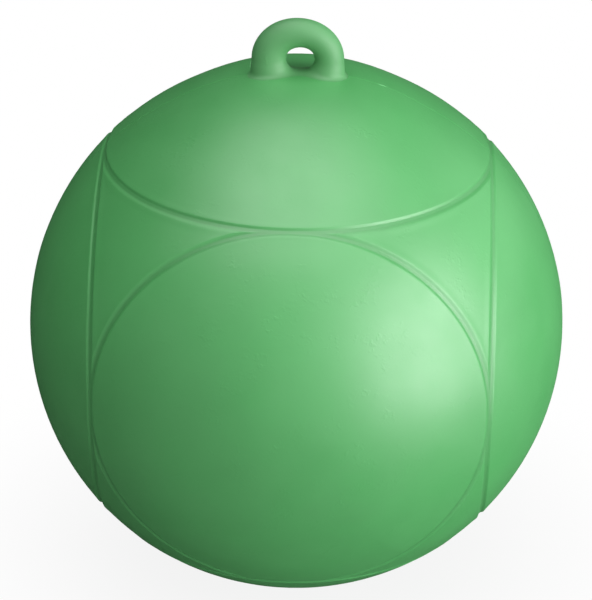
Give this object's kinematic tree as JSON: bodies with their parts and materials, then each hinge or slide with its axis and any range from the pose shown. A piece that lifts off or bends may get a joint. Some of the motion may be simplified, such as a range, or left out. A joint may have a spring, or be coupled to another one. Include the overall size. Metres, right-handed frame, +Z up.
{
  "type": "inflatable slalom buoy",
  "caption": "Round inflatable vinyl buoy with shallow ring grooves, a moulded rope eye on its crown and a screw valve. Moored by its eye, it marks a turn of a slalom course.",
  "frame": {"origin": "the ball's centre, on the water plane that runs through it when the buoy is moored", "axes": "+Z up through the rope eye, +Y along the eye's hole, away from the viewer and towards the valve's side, +X to the viewer's right"},
  "size_m": [0.2286, 0.2286, 0.2535],
  "materials": {
    "vinyl": "satin moulded green vinyl",
    "valve_plastic": "black moulded plastic",
    "washer_rubber": "matt black rubber"
  },
  "bodies": {
    "buoy": {"ball_shell": "vinyl", "rope_eye": "vinyl", "valve_seat": "valve_plastic"},
    "washer": {"valve_washer": "washer_rubber"},
    "plug": {"valve_plug": "valve_plastic"}
  },
  "joints": [
    {"name": "plug_lift", "type": "slide", "parent": "buoy", "child": "washer", "axis": [0, 0.5446, 0.8387], "range_m": [0, 0.00788]},
    {"name": "plug_turn", "type": "hinge", "parent": "washer", "child": "plug", "pos_m": [0, 0.06085, 0.0937], "axis": [0, 0.5446, 0.8387], "range_deg": [0, 1891]}
  ],
  "couplings": [
    {"joint": "plug_turn", "follows": "plug_lift", "rad_per_m": 4188.8}
  ]
}
